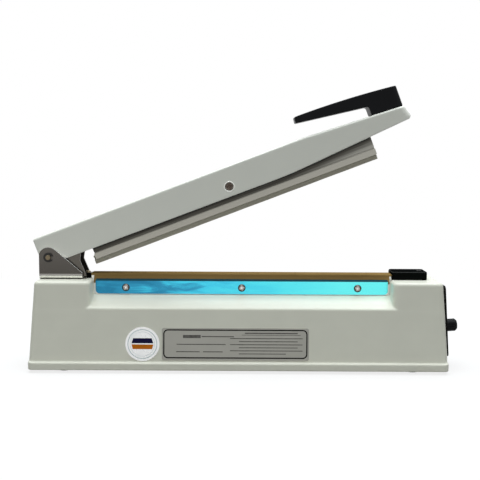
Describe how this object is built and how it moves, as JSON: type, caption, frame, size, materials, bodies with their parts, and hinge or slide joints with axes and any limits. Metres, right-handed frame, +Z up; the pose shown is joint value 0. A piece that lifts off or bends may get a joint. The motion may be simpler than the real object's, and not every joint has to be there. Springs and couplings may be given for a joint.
{
  "type": "impulse heat sealer",
  "caption": "Hand impulse heat sealer: long drafted casing with a heated seal bed between two towers and a sprung press arm with a black handle.",
  "frame": {"origin": "centre of the footprint, on the plane of the four feet", "axes": "+X along the casing to the timer end, -Y the front with the data plate, +Z up"},
  "size_m": [0.4473, 0.0852, 0.2944],
  "materials": {
    "casing_paint": "smooth glossy warm white enamel on a die-cast casing",
    "arm_paint": "smooth satin warm white enamel on a pressed arm",
    "zinc_steel": "bright zinc-plated sheet steel",
    "dark_steel": "dark nickel-plated sheet steel, faintly brushed",
    "pin_steel": "turned steel with a yellowish passivate",
    "screw_steel": "nickel-plated screw steel",
    "spring_steel": "drawn spring wire",
    "blackened_steel": "phosphated black steel",
    "bar_aluminium": "drawn aluminium profile with a grey anodised surface",
    "strip_aluminium": "aluminium strip under a glossy blue protective film",
    "ptfe_cloth": "brown glass cloth coated with PTFE",
    "glass_tape": "woven glass insulating tape",
    "resistance_alloy": "flat nickel-chromium heating strip",
    "silicone": "grey silicone rubber",
    "foot_rubber": "black moulded rubber",
    "black_abs": "black moulded ABS, finely grained",
    "knob_plastic": "black moulded phenolic knob",
    "panel_film": "black panel with a satin film",
    "lamp_lens": "translucent red lens",
    "switch_plastic": "black moulded switch body",
    "plunger_plastic": "red moulded plunger",
    "circuit_board": "green solder resist on glass laminate",
    "component_case": "blue moulded component cases",
    "spacer_nylon": "natural nylon",
    "core_steel": "stacked silicon-steel laminations",
    "coil_tape": "yellow polyester tape round the winding",
    "lead_sleeve": "red PVC insulation",
    "terminal_brass": "machined brass",
    "plate_film": "silver-grey polyester data plate",
    "sticker_paper": "white coated paper"
  },
  "bodies": {
    "root": {"casing": "casing_paint", "bottom_plate": "zinc_steel", "bottom_screws": "screw_steel", "rubber_feet": "foot_rubber", "foot_screws": "screw_steel", "end_panel": "panel_film", "panel_screws": "screw_steel", "potentiometer": "zinc_steel", "pot_nut": "screw_steel", "pilot_lamp": "lamp_lens", "timer_board": "circuit_board", "board_parts": "component_case", "board_spacers": "spacer_nylon", "board_screws": "screw_steel", "transformer_core": "core_steel", "transformer_coil": "coil_tape", "transformer_strap": "zinc_steel", "transformer_screws": "screw_steel", "element_leads": "lead_sleeve", "cord_grommet": "foot_rubber", "seal_bar": "bar_aluminium", "seal_bar_screws": "screw_steel", "insulating_strip": "glass_tape", "heating_element": "resistance_alloy", "nonstick_cloth": "ptfe_cloth", "front_strip": "strip_aluminium", "rear_strip": "strip_aluminium", "strip_screws": "screw_steel", "left_terminal": "black_abs", "right_terminal": "black_abs", "terminal_screws": "terminal_brass", "tension_spring": "spring_steel", "terminal_cap": "black_abs", "cap_screw": "blackened_steel", "hinge_bracket": "dark_steel", "bracket_screws": "screw_steel", "hinge_pin": "pin_steel", "retaining_clips": "blackened_steel", "lift_spring": "spring_steel", "switch_body": "switch_plastic", "switch_bracket": "zinc_steel", "switch_screws": "screw_steel", "data_plate": "plate_film", "round_sticker": "sticker_paper"},
    "arm": {"arm_shell": "arm_paint", "hinge_yoke": "dark_steel", "yoke_screws": "screw_steel", "handle": "black_abs", "handle_screws": "screw_steel", "pivot_screw": "blackened_steel", "pivot_nut": "blackened_steel"},
    "press_bar_body": {"press_bar": "bar_aluminium", "silicone_strip": "silicone"},
    "knob": {"timer_knob": "knob_plastic"},
    "plunger": {"switch_plunger": "plunger_plastic"}
  },
  "joints": [
    {"name": "arm_lift", "type": "hinge", "parent": "root", "child": "arm", "pos_m": [-0.1973, 0, 0.1159], "axis": [0, 1, 0], "range_deg": [0, 18.64], "stiffness_Nm_per_rad": 4, "springref_deg": -34.38, "deforming": ["lift_spring"]},
    {"name": "press_bar_tilt", "type": "hinge", "parent": "arm", "child": "press_bar_body", "pos_m": [-0.01022, 0, 0.19], "axis": [0, 1, 0], "range_deg": [0, 2.25]},
    {"name": "timer_turn", "type": "hinge", "parent": "root", "child": "knob", "pos_m": [0.21231, 0, 0.04293], "axis": [0.9978, 0, 0.0663], "range_deg": [-135, 135]},
    {"name": "switch_press", "type": "slide", "parent": "root", "child": "plunger", "axis": [0, 0, -1], "range_m": [0, 0.00151]}
  ],
  "couplings": [
    {"joint": "press_bar_tilt", "follows": "arm_lift", "ratio": 0.11856},
    {"joint": "switch_press", "follows": "arm_lift", "m_per_rad": 0.004611}
  ]
}
